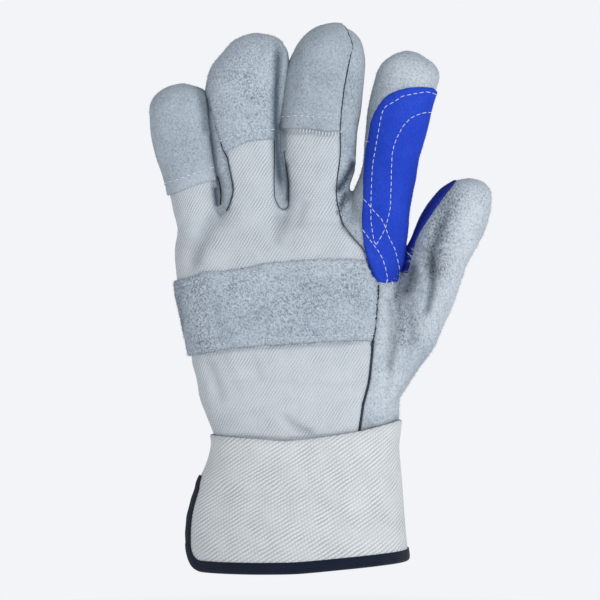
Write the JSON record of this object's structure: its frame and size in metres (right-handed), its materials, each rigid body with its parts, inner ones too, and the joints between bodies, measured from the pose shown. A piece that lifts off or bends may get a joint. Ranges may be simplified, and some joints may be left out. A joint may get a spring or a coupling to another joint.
{
  "type": "work glove",
  "caption": "Mechanical protection glove for the left hand: split leather palm and fingertips, canvas back, knuckle strap and a stiff flared safety cuff.",
  "frame": {"origin": "middle of the cuff's mouth, at its hem", "axes": "+Z from the cuff's mouth to the fingertips, -Y out of the back of the hand, +X to the thumb side"},
  "size_m": [0.1633, 0.0634, 0.2658],
  "materials": {
    "grey_split_leather": "napped suede, matte",
    "blue_split_leather": "napped suede, matte",
    "canvas_twill": "cotton twill, matte",
    "cuff_twill": "stiff coarse twill, matte",
    "binding_tape": "woven tape, matte"
  },
  "bodies": {
    "root": {"palm_leather": "grey_split_leather", "thumb_leather": "grey_split_leather", "index_leather": "grey_split_leather", "middle_leather": "grey_split_leather", "ring_leather": "grey_split_leather", "little_leather": "grey_split_leather", "back_canvas": "canvas_twill", "little_cap": "grey_split_leather", "ring_cap": "grey_split_leather", "middle_cap": "grey_split_leather", "knuckle_strap": "grey_split_leather", "index_patch": "blue_split_leather", "thumb_patch": "blue_split_leather", "cuff": "cuff_twill", "cuff_binding": "binding_tape"}
  },
  "joints": []
}
